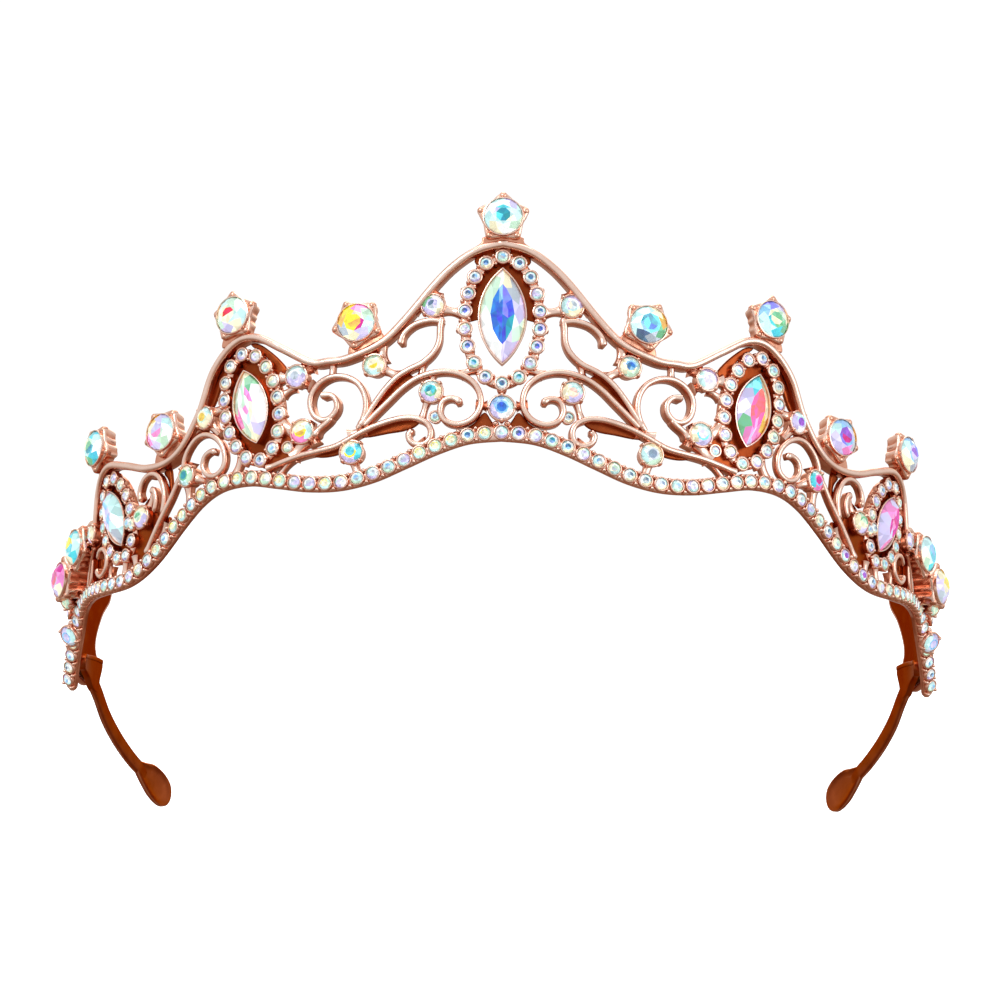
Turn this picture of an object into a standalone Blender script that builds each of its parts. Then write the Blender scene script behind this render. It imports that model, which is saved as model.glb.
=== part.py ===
"""Bridal tiara in rose-gold alloy with clear rainbow-coated crystals.

The tiara is designed flat, as the real casting is, and then bent round the head.
A flat place is (u, v, w) in millimetres: u runs along the wall from the front centre,
v runs up the wall from the front of the bottom rail, and w stands out of the wall.
bend() carries a flat place to the world, in metres with +Z up and the front at -Y.
"""
from math import atan2, ceil, cos, hypot, pi, radians, sin

import bmesh
import bpy
import numpy as np
from mathutils import Matrix, Vector

MM = 0.001

# Head opening: half of an ellipse seen from above, with straight ends for the ear pads
HALF_WIDTH = 76.0
HALF_DEPTH = 68.0
STRAIGHT_FROM = 141.5
PITCH = radians(12.0)

# At the flanks the work is drawn forward and stands in from the plan curve
FLANK_DRAW = 1.0
FLANK_INSET = 1.9

# Where the front of the bottom rail lies, with the origin on the floor between the ear pads
FRONT_TO_ORIGIN = 88.0
FRONT_HEIGHT = 69.0

# Metal sections
RAIL_WIDTH = 2.2
RAIL_DEPTH = 2.0
WIRE_WIDTH = 1.2
WIRE_DEPTH = 2.2
SCROLL_WIDTH = 1.0
SCROLL_DEPTH = 2.0
PLATE_DEPTH = 1.2
ARM_WIDTH = 3.3
ARM_DEPTH = 1.2
ARM_INSET = -1.8
SLICE = 4.0

# Five-prong baskets and their round stones
PRONGS = 5
PRONG_REACH = 4.1
BASKET_SIDE = 3.3
BASKET_BORE = 3.05
BASKET_DEPTH = 2.2
PRONG_RISE = 0.7
BASKET_FOOT = 1.2
BASKET_WALL = 0.3
STONE_RADIUS = 2.85
STONE_SIDES = 10

# Marquise settings: the ring of small cups stands outside the pointed stone
HALO_CUP = 1.15
SETTING_DEPTH = 1.6
STONE_GAP = 0.25

ROSE_GOLD = (0.80, 0.40, 0.27, 1.0)
ARM_METAL = (0.55, 0.22, 0.11, 1.0)
CRYSTAL = (0.86, 0.90, 0.95, 1.0)
CENTRE_CRYSTAL = (0.25, 0.45, 0.85, 1.0)

# Centre lines and outlines of the right half, in flat millimetres
RAIL_LINE = [
    (0.15, 0.5), (5.2, 0.0), (10.1, -1.6), (15, -3.7), (19.8, -5.6), (24.8, -6.6), (29.9, -6.5),
    (35.1, -5.6), (40.5, -4.7), (46, -5.1), (50.8, -7.1), (55.5, -10.5), (61.5, -15.3),
    (67.5, -17.8), (75, -18.2), (85, -17.8), (93, -18.3), (97, -20.3), (101, -23.6), (108.5, -31),
]
TOP_LINE = [
    (0.15, 30.5), (5, 29.8), (10, 24.6), (14.9, 18.6), (18.6, 15.1), (23.8, 12.9), (27, 12.6), (30, 12.7),
    (35, 15.4), (39.8, 17.8), (43.8, 17.3), (48, 13.2), (50.8, 7), (54.5, 2.1), (58.5, -0.2),
    (63.5, -0.4), (69, 0.9), (74.5, 1.9), (78, 0.6), (79.8, -2.2), (80.2, -6),
]
SCROLL_LINES = {
    "heart_scroll": [
        (9.6, 17.6), (9.5, 15), (10.4, 13.2), (12.1, 11.6), (14.2, 10.6), (16, 9.5), (17.7, 7.8),
        (19.2, 5.8), (20.5, 3.8), (21.5, 2.4),
    ],
    "c_scroll": [
        (18.9, 4.2), (17.3, 5.7), (15.3, 7.6), (13.1, 9.1), (10.8, 9.9), (8.3, 10.1), (6, 9.5),
        (4.2, 8.2), (3.3, 6.4), (3.3, 4.4), (4.5, 2.7), (6.5, 1.9), (8.4, 2.3), (9.3, 3.8),
        (9.0, 5.3), (7.9, 5.9), (6.7, 5.6),
    ],
    "low_scroll": [
        (13.2, 1.3), (13.8, 0.6), (13.3, -0.1), (12.3, -0.3), (11.2, 0.2), (10.8, 1.2), (11.5, 2.3),
        (13.2, 2.9), (15.3, 2.95), (17.8, 2.4), (20.2, 1.4), (22.6, 0.2), (25.5, -0.9),
        (28.5, -1.5), (31.5, -2.0), (33.3, -2.5),
    ],
    "middle_spiral": [
        (20.95, 5.8), (21.3, 7.3), (22.4, 9), (24.4, 10), (26.6, 10.1), (28.5, 9.2), (29.7, 7.6),
        (29.9, 5.9), (29.3, 4.3), (28, 3.4), (26.6, 3.6), (25.6, 4.8), (25.6, 6.2), (26.6, 7.2),
        (27.9, 7.2),
    ],
    "side_spiral": [
        (53.1, 1.2), (51.6, 2.7), (49.6, 3.2), (47.6, 2.6), (46.3, 1.2), (45.7, -0.7), (46, -2.4),
        (47.2, -3.2), (48.7, -3.0), (49.7, -1.9), (49.3, -0.4), (48, 0.2),
    ],
    "outer_stem": [
        (54.9, -0.5), (55.6, -2.9), (57.2, -6), (59.2, -9), (60.9, -11.7), (61.9, -13.1),
    ],
}
PLATE_OUTLINE = [
    (83, -7), (86, -5.6), (92, -5.8), (98, -7), (108, -7.4), (119, -7), (127.5, -7.4),
    (131.6, -9), (131.4, -11.4), (128.5, -14.5), (126.2, -18.5), (125.8, -21), (127, -23.6),
    (126.2, -26.4), (123.5, -27.8), (119, -27.4), (115.5, -27.0), (112, -27.2), (109.6, -28.2),
    (106.1, -26.2), (102.2, -22.4), (98, -18.8), (93.5, -16.6), (88, -16.3), (83.2, -16.2), (82.6, -12),
]
TAB_OUTLINE = [
    (110.5, -24.4), (118, -23.7), (124, -23.4), (125.4, -24.4), (125.6, -26.6), (125, -28.3),
    (123.2, -30.4), (120.4, -29.2), (117.5, -27.6), (114, -26.9), (111, -26.9), (109.6, -26),
]
ARM_LINE = [(124.75, -29.7), (129, -33.2), (134, -36.6), (139, -39.6), (142, -41.2)]
PAD_CENTRE = (147.6, -44.1)
PAD_LENGTH = 5.6
PAD_WIDTH = 3.6

# Round stones in baskets: place, lift out of the wall, turn of the top prong, and turn towards the front
BASKETS = {
    "crest": (0.0, 34.6, 0.0, 0.0, 0.0),
    "inner_peak": (22.4, 18.3, 0.0, 30.0, 0.0),
    "outer_peak": (43.9, 21.8, 0.0, 6.0, 0.0),
    "shoulder": (59.4, 4.8, 0.0, 36.0, 4.0),
    "temple": (80.1, 5.8, 0.4, 36.0, 12.0),
    "side_upper": (85.3, -10.2, 2.0, 36.0, 13.0),
    "side_lower": (93.8, -14.3, 2.8, 0.0, 9.0),
}
# Marquise settings: place, tilt outwards, stone size, and size of the ring of cup centres
MARQUISES = {
    "centre": (0.0, 18.6, 0.0, (7.0, 15.0), (5.8, 9.85)),
    "inner": (40.4, 6.7, 12.5, (6.0, 12.0), (4.9, 8.9)),
    "outer": (72.4, -7.2, 28.0, (5.2, 11.0), (4.4, 7.6)),
}
DROP_PLACE = (0.0, 4.6)
DROP_CUP_RADIUS = 2.2
DROP_BORE = 1.8
DROP_STONE_RADIUS = 1.6


def plan_table():
    """Arc length, place and heading along the head opening, in millimetres."""
    angle = np.linspace(0.0, radians(150.0), 3001)
    x = HALF_WIDTH * np.sin(angle)
    y = HALF_DEPTH * (1.0 - np.cos(angle))
    run = np.concatenate([[0.0], np.cumsum(np.hypot(np.diff(x), np.diff(y)))])
    heading = np.arctan2(HALF_DEPTH * np.sin(angle), HALF_WIDTH * np.cos(angle))
    return run, x, y, heading


RUN, PLAN_X, PLAN_Y, PLAN_HEADING = plan_table()


def ease(value, low, high):
    """Smooth step from 0 at low to 1 at high."""
    share = min(max((value - low) / (high - low), 0.0), 1.0)
    return share * share * (3 - 2 * share)


def bend(u, v, w):
    """World place of a flat place. The left half has negative u."""
    side = -1.0 if u < 0 else 1.0
    reach = abs(u)
    w -= FLANK_INSET * ease(reach, 74, 92) * (1 - ease(reach, 94, 118))
    reach -= FLANK_DRAW * ease(reach, 45, 58) * (1 - ease(reach, 98, 108))
    along = min(reach, STRAIGHT_FROM)
    past = reach - along
    heading = float(np.interp(along, RUN, PLAN_HEADING))
    x = float(np.interp(along, RUN, PLAN_X)) + past * cos(heading) + w * sin(heading)
    y = float(np.interp(along, RUN, PLAN_Y)) + past * sin(heading) - w * cos(heading)
    back = y * cos(PITCH) + v * sin(PITCH)
    rise = v * cos(PITCH) - y * sin(PITCH)
    return Vector((side * x, back - FRONT_TO_ORIGIN, rise + FRONT_HEIGHT)) * MM


def bend_frame(u, v, w):
    """World matrix of a flat place: +X along the wall, +Y up it and +Z out of it."""
    step = 0.01
    along = (bend(u + step, v, w) - bend(u - step, v, w)).normalized()
    up = (bend(u, v + step, w) - bend(u, v - step, w)).normalized()
    out = along.cross(up)
    frame = Matrix((along, up, out)).transposed().to_4x4()
    frame.translation = bend(u, v, w)
    return frame


def smooth_line(points, step=1.6):
    """Catmull-Rom curve through the points, sampled about every step millimetres."""
    ends = [Vector(p) for p in points]
    ends = [ends[0] * 2 - ends[1]] + ends + [ends[-1] * 2 - ends[-2]]
    line = []
    for a, b, c, d in zip(ends, ends[1:], ends[2:], ends[3:]):
        count = max(2, ceil((c - b).length / step))
        for i in range(count):
            t = i / count
            line.append(0.5 * (2 * b + (c - a) * t + (2 * a - 5 * b + 4 * c - d) * t * t
                               + (3 * b - a - 3 * c + d) * t ** 3))
    return line + [ends[-2]]


def ribbon(line, width):
    """Closed outline of a wire of constant width along a centre line."""
    left, right = [], []
    for i, point in enumerate(line):
        ahead = line[min(i + 1, len(line) - 1)] - line[max(i - 1, 0)]
        across = Vector((-ahead.y, ahead.x)).normalized() * width / 2
        left.append(point + across)
        right.append(point - across)
    return left + right[::-1]


def ellipse(centre, half_u, half_v, tilt=0.0, sides=24):
    """Closed ellipse whose top leans outwards by tilt degrees."""
    lean = radians(-tilt)
    ring = []
    for i in range(sides):
        a = 2 * pi * i / sides
        x, y = half_u * cos(a), half_v * sin(a)
        ring.append(Vector((centre[0] + x * cos(lean) - y * sin(lean),
                            centre[1] + x * sin(lean) + y * cos(lean))))
    return ring


def navette_radius(angle, half_u, half_v):
    """Distance from the middle to the edge of a pointed oval made of two arcs."""
    arc = (half_u ** 2 + half_v ** 2) / (2 * half_u)
    x = abs(cos(angle))
    back = arc - half_u
    return -back * x + (arc ** 2 - (back ** 2) * (1 - x ** 2)) ** 0.5


def navette(centre, half_u, half_v, tilt=0.0, sides=16):
    """Closed pointed oval whose top leans outwards by tilt degrees."""
    lean = radians(-tilt)
    ring = []
    for i in range(sides):
        a = 2 * pi * i / sides
        r = navette_radius(a, half_u, half_v)
        ring.append(Vector((centre[0] + r * cos(a + lean), centre[1] + r * sin(a + lean))))
    return ring


def material(name, colour, roughness, metallic):
    """Principled material, made once for each name."""
    found = bpy.data.materials.get(name)
    if found:
        return found
    made = bpy.data.materials.new(name)
    made.use_nodes = True
    shader = made.node_tree.nodes["Principled BSDF"]
    shader.inputs["Base Color"].default_value = colour
    shader.inputs["Roughness"].default_value = roughness
    shader.inputs["Metallic"].default_value = metallic
    return made


def rose_gold():
    return material("rose_gold", ROSE_GOLD, 0.22, 1.0)


def arm_metal():
    return material("dark_rose_gold", ARM_METAL, 0.4, 1.0)


def crystal():
    return material("crystal", CRYSTAL, 0.05, 0.0)


def centre_crystal():
    return material("centre_crystal", CENTRE_CRYSTAL, 0.05, 0.0)


def flat_mesh(outlines, depth, lift=0.0):
    """Mesh of filled outlines, extruded by depth about the height lift, in millimetres."""
    curve = bpy.data.curves.new("outline", "CURVE")
    curve.dimensions = "2D"
    curve.fill_mode = "BOTH"
    curve.extrude = depth / 2
    for outline in outlines:
        spline = curve.splines.new("POLY")
        spline.points.add(len(outline) - 1)
        for knot, point in zip(spline.points, outline):
            knot.co = (point[0], point[1], 0.0, 1.0)
        spline.use_cyclic_u = True
    guide = bpy.data.objects.new("outline", curve)
    bpy.context.scene.collection.objects.link(guide)
    bpy.context.view_layer.update()
    mesh = bpy.data.meshes.new_from_object(guide.evaluated_get(bpy.context.evaluated_depsgraph_get()))
    bpy.data.objects.remove(guide)
    bpy.data.curves.remove(curve)
    body = bmesh.new()
    body.from_mesh(mesh)
    bpy.data.meshes.remove(mesh)
    bmesh.ops.remove_doubles(body, verts=body.verts, dist=0.001)
    bmesh.ops.recalc_face_normals(body, faces=body.faces)
    bmesh.ops.translate(body, verts=body.verts, vec=(0, 0, lift))
    return body


def slice_along(body, step=SLICE):
    """Cut a flat body every step millimetres along u, so that it can bend."""
    reach = max(abs(vert.co.x) for vert in body.verts)
    for i in range(-ceil(reach / step), ceil(reach / step) + 1):
        everything = body.verts[:] + body.edges[:] + body.faces[:]
        bmesh.ops.bisect_plane(body, geom=everything, plane_co=(i * step, 0, 0),
                               plane_no=(1, 0, 0), dist=0.001)


def mirror(body):
    """Turn the right half's body into the left half's."""
    bmesh.ops.scale(body, vec=(-1, 1, 1), verts=body.verts)
    bmesh.ops.reverse_faces(body, faces=body.faces)


def add_node(name, body, finish, smooth_angle=35.0):
    """Make the body a named object of the tiara."""
    mesh = bpy.data.meshes.new(name)
    body.to_mesh(mesh)
    body.free()
    mesh.materials.append(finish)
    mesh.shade_smooth()
    mesh.set_sharp_from_angle(angle=radians(smooth_angle))
    node = bpy.data.objects.new(name, mesh)
    bpy.data.collections["bridal_tiara"].objects.link(node)
    return node


def add_bent(name, outlines, depth, finish, lift=0.0, left=False, sliced=False):
    """Node cut from flat outlines and bent round the head."""
    body = flat_mesh(outlines, depth, lift)
    if sliced:
        slice_along(body)
    if left:
        mirror(body)
    for vert in body.verts:
        vert.co = bend(*vert.co)
    return add_node(name, body, finish)


def turned(profile, sides, radius=None):
    """Closed turned body about +Z from (radius, height) pairs, reshaped by radius(angle)."""
    body = bmesh.new()
    ring = [body.verts.new((r, 0, h)) for r, h in profile]
    edges = [body.edges.new(pair) for pair in zip(ring, ring[1:])]
    bmesh.ops.spin(body, geom=ring + edges, cent=(0, 0, 0), axis=(0, 0, 1),
                   angle=2 * pi, steps=sides, use_merge=True)
    bmesh.ops.remove_doubles(body, verts=body.verts, dist=0.001)
    bmesh.ops.recalc_face_normals(body, faces=body.faces)
    if radius:
        for vert in body.verts:
            reach = hypot(vert.co.x, vert.co.y)
            angle = atan2(vert.co.y, vert.co.x)
            vert.co.x = reach * radius(angle) * cos(angle)
            vert.co.y = reach * radius(angle) * sin(angle)
    return body


def set_at(body, place, lift, tilt, yaw=0.0, rise=0.0):
    """Stand a body, modelled in millimetres about its own middle, on the wall.

    Yaw turns it towards the front, and rise then moves it out along its own axis.
    """
    forward = Matrix.Rotation(radians(yaw if place[0] < 0 else -yaw), 4, "Y")
    turn = Matrix.Rotation(radians(-tilt), 4, "Z")
    pose = forward @ Matrix.Translation((0, 0, rise)) @ turn
    bmesh.ops.transform(body, verts=body.verts,
                        matrix=bend_frame(place[0], place[1], lift) @ Matrix.Scale(MM, 4) @ pose)


def gem_profile(radius, crown, pavilion):
    """Half section of a cut stone: table, crown, girdle, pavilion and small flat culet."""
    return [(0, crown), (radius * 0.6, crown), (radius, 0.15), (radius, -0.15),
            (radius * 0.35, -pavilion), (0, -pavilion)]


def make_round_stone(name, place, lift, radius, yaw=0.0, rise=0.0):
    body = turned(gem_profile(radius, 1.25, 1.2), STONE_SIDES)
    set_at(body, place, lift, 0.0, yaw, rise)
    return add_node(name, body, crystal(), smooth_angle=10.0)


def make_basket(name, place, lift, tilt, yaw):
    """Five-prong basket: a star-shaped collar with a bore, its points raised as prongs.

    The back of a lifted basket reaches down to the plate under it.
    """
    star = []
    for i in range(2 * PRONGS * 2):
        reach = (PRONG_REACH, PRONG_REACH * 0.87, BASKET_SIDE, PRONG_REACH * 0.87)[i % 4]
        swing = (0, 9, 36, 63)[i % 4] + 72 * (i // 4) + 90
        star.append(Vector((reach * cos(radians(swing)), reach * sin(radians(swing)))))
    body = flat_mesh([star, ellipse((0, 0), BASKET_BORE, BASKET_BORE, sides=15)], BASKET_DEPTH)
    for vert in body.verts:
        if hypot(vert.co.x, vert.co.y) > BASKET_SIDE + 0.1 and vert.co.z > 0:
            vert.co.z += PRONG_RISE
    hand = -1.0 if place[0] < 0 else 1.0
    swing = radians(tilt)
    for vert in body.verts:
        if lift > 1 and vert.co.z < 0:
            across = hand * (vert.co.x * cos(swing) + vert.co.y * sin(swing))
            root = (BASKET_FOOT - lift - across * sin(radians(yaw))) / cos(radians(yaw))
            vert.co.z = min(root, -BASKET_WALL)
    set_at(body, place, lift, tilt, yaw)
    return add_node(name, body, rose_gold())


def make_basket_pair(name, u, v, lift, tilt, yaw, left=False):
    """Basket and its stone."""
    place = (-u if left else u, v)
    make_basket(f"{name}_basket", place, lift, -tilt if left else tilt, yaw)
    make_round_stone(f"{name}_stone", place, lift, STONE_RADIUS, yaw, BASKET_DEPTH / 2 + 0.2)


def make_marquise(name, u, v, tilt, size, halo, left=False):
    """Marquise stone and the ring plate that holds it and its halo of cups."""
    half_u, half_v = size[0] / 2, size[1] / 2
    outer = ellipse((u, v), halo[0] + HALO_CUP, halo[1] + HALO_CUP, tilt)
    hole = navette((u, v), half_u + STONE_GAP, half_v + 2 * STONE_GAP, tilt)
    add_bent(f"{name}_setting", [outer, hole], SETTING_DEPTH, rose_gold(), left=left, sliced=True)
    body = turned(gem_profile(1.0, 1.7, 0.5), 16, lambda angle: navette_radius(angle, half_u, half_v))
    set_at(body, (-u if left else u, v), 0.5, -tilt if left else tilt)
    finish = crystal() if tilt else centre_crystal()
    return add_node(f"{name}_stone", body, finish, smooth_angle=10.0)


def make_drop():
    """Small round stone in a plain cup under the centre marquise."""
    cup = ellipse(DROP_PLACE, DROP_CUP_RADIUS, DROP_CUP_RADIUS, sides=20)
    bore = ellipse(DROP_PLACE, DROP_BORE, DROP_BORE, sides=20)
    add_bent("lower_centre_setting", [cup, bore], SETTING_DEPTH, rose_gold())
    make_round_stone("lower_centre_stone", DROP_PLACE, SETTING_DEPTH / 2 + 0.1, DROP_STONE_RADIUS)


def arm_outline():
    """Sprung strip that widens into a rounded ear pad, as one outline."""
    line = smooth_line(ARM_LINE, 2.0)
    strip = ribbon(line, ARM_WIDTH)
    upper, lower = strip[:len(line)], strip[len(line):]
    ahead = (line[-1] - line[-2]).normalized()
    heading = atan2(ahead.y, ahead.x)
    pad = []
    for i in range(17):
        swing = radians(150 - 300 * i / 16)
        x, y = PAD_LENGTH * cos(swing), PAD_WIDTH * sin(swing)
        pad.append(Vector((PAD_CENTRE[0] + x * cos(heading) - y * sin(heading),
                           PAD_CENTRE[1] + x * sin(heading) + y * cos(heading))))
    return upper + pad + lower


def make_side(side):
    """Every left or right piece except the stones."""
    left = side == "left"
    gold = rose_gold()
    add_bent(f"base_rail_{side}", [ribbon(smooth_line(RAIL_LINE, 3.2), RAIL_WIDTH)], RAIL_DEPTH,
             gold, left=left)
    add_bent(f"top_wire_{side}", [ribbon(smooth_line(TOP_LINE, 2.8), WIRE_WIDTH)], WIRE_DEPTH,
             gold, left=left)
    for name, points in SCROLL_LINES.items():
        add_bent(f"{name}_{side}", [ribbon(smooth_line(points, 1.6), SCROLL_WIDTH)], SCROLL_DEPTH,
                 gold, left=left)
    add_bent(f"end_plate_{side}", [PLATE_OUTLINE], PLATE_DEPTH, gold, left=left, sliced=True)
    add_bent(f"arm_tab_{side}", [TAB_OUTLINE], ARM_DEPTH, arm_metal(), lift=ARM_INSET, left=left,
             sliced=True)
    add_bent(f"arm_{side}", [arm_outline()], ARM_DEPTH, arm_metal(), lift=ARM_INSET, left=left,
             sliced=True)


def main():
    for thing in list(bpy.data.objects):
        bpy.data.objects.remove(thing)
    parts = bpy.data.collections.new("bridal_tiara")
    bpy.context.scene.collection.children.link(parts)
    make_basket_pair("crest", *BASKETS["crest"])
    make_marquise("centre_marquise", *MARQUISES["centre"])
    make_drop()
    for side in ("left", "right"):
        left = side == "left"
        make_side(side)
        for name in list(BASKETS)[1:]:
            make_basket_pair(f"{name}_{side}", *BASKETS[name], left=left)
        for name in ("inner", "outer"):
            make_marquise(f"{name}_marquise_{side}", *MARQUISES[name], left=left)


main()
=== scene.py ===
"""Looks of the bridal tiara: cast rose-gold filigree, claw-set rows and cut rainbow crystals.

Everything is laid out flat in millimetres and then bent round the head, as part.py does:
u runs along the wall from the front centre, v up the wall and w out of it. Only the right
half is laid out. The left half mirrors it, with stones that catch the light differently.
"""

import random
from math import atan2, ceil, cos, pi, radians, sin

import bmesh
import bpy
import numpy as np
from mathutils import Matrix, Vector


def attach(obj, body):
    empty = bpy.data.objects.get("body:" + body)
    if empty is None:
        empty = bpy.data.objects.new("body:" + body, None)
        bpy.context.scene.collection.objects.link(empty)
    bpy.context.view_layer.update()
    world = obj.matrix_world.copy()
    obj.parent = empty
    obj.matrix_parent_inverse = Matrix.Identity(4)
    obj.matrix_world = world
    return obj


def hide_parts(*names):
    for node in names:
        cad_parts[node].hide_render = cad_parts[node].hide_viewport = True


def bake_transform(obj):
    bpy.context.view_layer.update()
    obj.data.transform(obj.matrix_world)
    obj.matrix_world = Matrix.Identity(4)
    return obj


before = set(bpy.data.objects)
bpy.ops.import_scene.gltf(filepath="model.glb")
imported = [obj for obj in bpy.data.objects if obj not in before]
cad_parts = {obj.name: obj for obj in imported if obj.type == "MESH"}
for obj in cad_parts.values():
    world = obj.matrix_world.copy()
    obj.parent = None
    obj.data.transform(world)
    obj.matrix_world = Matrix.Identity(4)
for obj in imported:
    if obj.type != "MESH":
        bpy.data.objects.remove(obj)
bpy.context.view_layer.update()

MM = 0.001
SIDES = ("left", "right")

# Head opening and stance, as in part.py
HALF_WIDTH = 76.0
HALF_DEPTH = 68.0
STRAIGHT_FROM = 141.5
PITCH = radians(12.0)
FLANK_DRAW = 1.0
FLANK_INSET = 1.9
FRONT_TO_ORIGIN = 88.0
FRONT_HEIGHT = 69.0

# Wires
WIRE_STEP = 0.45
RAIL_WIDTH = 2.55
RAIL_DEPTH = 1.1
RAIL_TWIST = radians(42)
TOP_WIDTH = 1.25
TOP_DEPTH = 2.8
SCROLL_WIDTH = 0.95
SCROLL_DEPTH = 2.3
FLANK_DEPTH = 1.4
WEB_DEPTH = 1.5
WEB_LIFT = -0.35

# Edges: shading breaks above this angle, and sheets are rounded by this much
SHARP_ANGLE = radians(55)
EDGE_ROUND = 0.2

# Small stones, their cups and how deep the cups root in the filigree
ROW_START = 1.2
ROW_PITCH = 2.57
ROW_STONE = 0.98
ROW_CUP = 1.21
HALO_STONE = 0.9
HALO_CUP = 1.24
CUP_ROOT = -1.9
SMALL_CUP_ROOT = -1.3

# Side plate: where it starts along the wall, its faces, and how deep baskets may root in it
PLATE_START = 84.0
PLATE_TOP = 0.35
PLATE_BACK = -0.6
PLATE_CORE = -0.25

# Large stones and their five-prong baskets: rows of (scale or radius, height, painted light, depth of
# fluting)
LARGE_STONE = 2.9
STONE_SEAT = 1.72
PRONGS = 5
PRONG_REACH = 3.55
FLUTES = 15
STAR_CORNERS = 120
BASKET_WALL = [
    (0.9, -0.3, 0.5, 0.05), (0.95, 0.35, 0.5, 0.045), (0.985, 0.8, 0.45, 0.02), (1, 1, 0.8, 0),
    (0.985, 1.22, 0.95, 0), (0.93, 1.36, 0.8, 0), (0.84, 1.38, 0.4, 0),
]
BASKET_LIP = [(3.14, 1.42, 0.6), (3.08, 1.84, 1.0), (2.94, 1.88, 1.0), (2.88, 1.7, 0.4), (2.8, 0.9, 0.1)]

# Marquise bezel as rows of (growth, height, painted light), and the floor of painted shade round it as
# (share, height)
BEZEL_CORNERS = 48
BEZEL = [
    (0.0, -0.9, 0.1), (0.12, -0.85, 0.1), (0.2, 0.2, 0.2), (0.3, 0.7, 0.6), (0.22, 0.9, 1.0),
    (0.06, 0.92, 0.95), (-0.06, 0.75, 0.3), (-0.1, 0.0, 0.05),
]
SHADE_FLOOR = [(0.0, -0.95), (0.0, -0.5), (1.0, -0.5), (1.0, -0.95)]

# Arms
ARM_WIDTH = 3.3
ARM_DEPTH = 1.2
ARM_INSET = -1.8
PAD_CENTRE = (147.6, -44.1)
BAND_START = (119.5, -26.6)
BAND_END = (144.8, -42.7)
ARM_LINE = [(124.75, -29.7), (129, -33.2), (134, -36.6), (139, -39.6), (142, -41.2)]
TAB_LEDGE = [(111, -24.6), (114, -24.3), (118, -23.9), (122, -23.7), (125.4, -23.8)]
PAD_EDGE = [
    (-7.4, -0.7), (-6.2, -1.3), (-4.8, -1.8), (-2.8, -2.35), (0.0, -2.9), (3.4, -2.7), (5.4, -1.1),
    (5.6, 0.9), (4.2, 2.7), (1.2, 3.3), (-2.2, 2.9), (-4.6, 1.8), (-6.4, 1.05), (-7.4, 0.7),
]
# Ear pad's dish as rows of (share of outline, height, painted light): the lighter rows are a painted
# highlight on the rim and a painted streak inside the dish.
PAD_DISH = [
    (0.04, 0.05, 0.2), (0.35, 0.02, 0.25), (0.62, -0.1, 0.4), (0.82, -0.36, 0.2), (0.93, -0.55, 0.3),
    (1.0, -0.4, 0.7), (1.0, 0.1, 0.4), (0.94, 0.45, 0.5), (0.8, 0.58, 0.4), (0.4, 0.6, 0.3),
    (0.04, 0.6, 0.3),
]

# Metals: sRGB tones from painted shade in the recesses to painted highlight on the crests, roughness from
# low to high, and tint of grazing reflections
PLATING = ((172, 88, 52), (236, 172, 144), (253, 222, 206)), (0.16, 0.32), (1.0, 0.84, 0.74)
# The second plating is a darker copy of the same metal, for faces painted in shade
PAINTED_SHADE_PLATING = ((136, 58, 26), (172, 84, 44), (250, 196, 160)), (0.22, 0.38), (0.7, 0.38, 0.24)
MID_TONE = 0.42
CLOUD_SCALE = 420.0
RIPPLE_SCALE = 900.0

# Studio, in metres and watts: name, place, size and power of each light
FLOOR_REACH = 6.0
LIGHT_TARGET = (0, -0.05, 0.06)
LIGHTS = [
    ("key", (-0.35, -0.55, 0.55), 0.30, 1.6), ("fill", (0.5, -0.45, 0.25), 0.35, 0.8),
    ("top", (0.0, 0.05, 0.7), 0.5, 1.6), ("back", (0.1, 0.6, 0.4), 0.5, 1.2),
]
CAMERA_PLACE = (0.0, -0.448, 0.05942)
CAMERA_ROLL = radians(0.45)
CAMERA_LENS = 85.3
CAMERA_SHIFT = -0.001

# Centre lines of the bottom rail and the top wire, from just past the front centre
RAIL_LINE = [
    (-1.2, 0.47), (0, 0.5), (5.2, 0), (10.1, -1.6), (15, -3.7), (19.8, -5.6), (24.8, -6.6), (29.9, -6.5),
    (35.1, -5.6), (40.5, -4.7), (46, -5.1), (50.8, -7.1), (55.5, -10.5), (61.5, -15.3), (67.5, -17.8),
    (75, -18.2), (85, -17.8), (93, -18.3), (97, -20.3), (101, -23.6), (108.5, -31),
]
TOP_LINE = [
    (-1.2, 30.3), (0, 30.4), (3.6, 29.5), (6.8, 27.5), (10, 24.4), (14.9, 18.5), (18.6, 15), (23.8, 12.9),
    (27, 12.6), (30, 12.7), (35, 15.4), (39.8, 17.8), (43.8, 17.3), (48, 13.2), (50.8, 7), (54.5, 2.1),
    (58.5, -0.2), (63.5, -0.4), (69, 0.9), (74.5, 1.9), (78, 0.6), (79.8, -2.2), (80.4, -6), (80.8, -8.4),
]
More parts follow.
